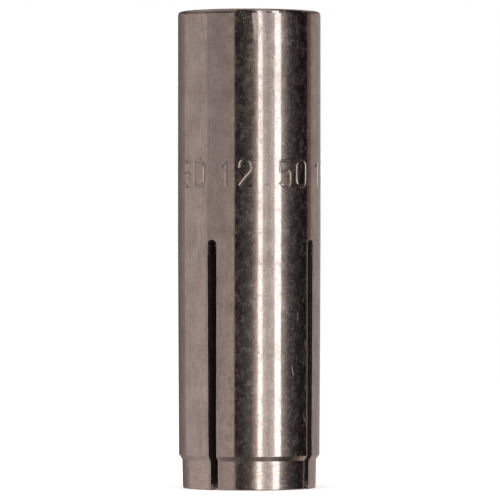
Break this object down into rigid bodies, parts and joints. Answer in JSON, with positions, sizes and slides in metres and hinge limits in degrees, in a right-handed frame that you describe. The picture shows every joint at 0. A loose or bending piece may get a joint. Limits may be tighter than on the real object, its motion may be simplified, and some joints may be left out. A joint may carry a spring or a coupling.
{
  "type": "drop-in anchor",
  "caption": "Slotted steel drop-in anchor: an internally threaded sleeve whose lower legs spread when the tapered plug inside is driven down.",
  "frame": {"origin": "centre of the slotted tip's end face, where the anchor stands", "axes": "+Z along the bore axis from the slotted tip to the threaded mouth; the four slots lie on the X and Y axes"},
  "size_m": [0.015, 0.015, 0.05],
  "materials": {
    "sleeve_steel": "bright cold-drawn stainless steel, lightly scuffed",
    "plug_steel": "turned stainless steel"
  },
  "bodies": {
    "sleeve": {"sleeve": "sleeve_steel"},
    "plug": {"expander_plug": "plug_steel"}
  },
  "joints": [
    {"name": "plug_drive", "type": "slide", "parent": "sleeve", "child": "plug", "axis": [0, 0, -1], "range_m": [0, 0.008], "deforming": ["sleeve"]}
  ]
}
